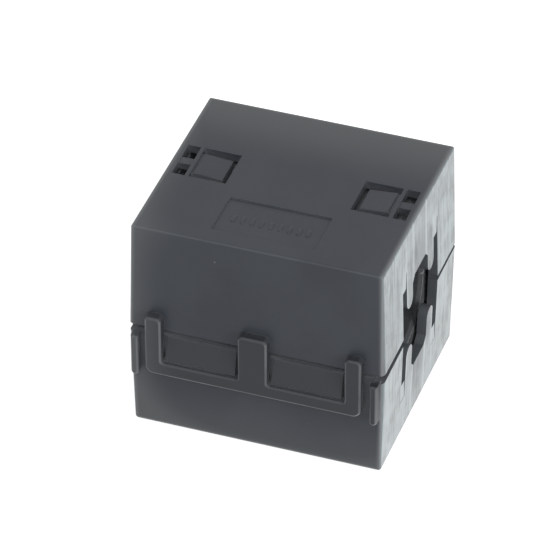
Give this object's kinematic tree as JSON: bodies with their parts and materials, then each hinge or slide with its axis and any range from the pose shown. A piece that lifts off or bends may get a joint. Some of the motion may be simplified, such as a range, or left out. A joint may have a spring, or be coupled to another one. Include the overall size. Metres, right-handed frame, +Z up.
{
  "type": "clip-on ferrite bead",
  "caption": "Box-shaped snap-shut plastic case with two half-round-bored ferrite cores that clamps round a cable; hooked latch frame in front, living hinge behind.",
  "frame": {"origin": "centre of the cable bore, on the plane where the two half cores meet, midway between the end faces", "axes": "+X along the cable, +Y from the latch towards the hinge, +Z up towards the half that carries the latch"},
  "size_m": [0.0342, 0.0334, 0.0313],
  "materials": {
    "black_nylon": "moulded black nylon, fine matt grain with a soft sheen",
    "ferrite": "sintered dark grey ferrite, satin, with slightly polished edges"
  },
  "bodies": {
    "lower": {"lower_case": "black_nylon", "lower_core": "ferrite", "hinge_strap_left": "black_nylon", "hinge_strap_right": "black_nylon"},
    "upper": {"upper_case": "black_nylon", "upper_core": "ferrite"},
    "latch": {"latch_frame": "black_nylon"}
  },
  "joints": [
    {"name": "lid_hinge", "type": "hinge", "parent": "lower", "child": "upper", "pos_m": [0, 0.01703, -0.00013], "axis": [-1, 0, 0], "range_deg": [0, 175], "deforming": ["hinge_strap_left", "hinge_strap_right"]},
    {"name": "latch_flex", "type": "hinge", "parent": "upper", "child": "latch", "pos_m": [0, -0.01518, 0.0025], "axis": [-1, 0, 0], "range_deg": [0, 13], "stiffness_Nm_per_rad": 0.15}
  ]
}
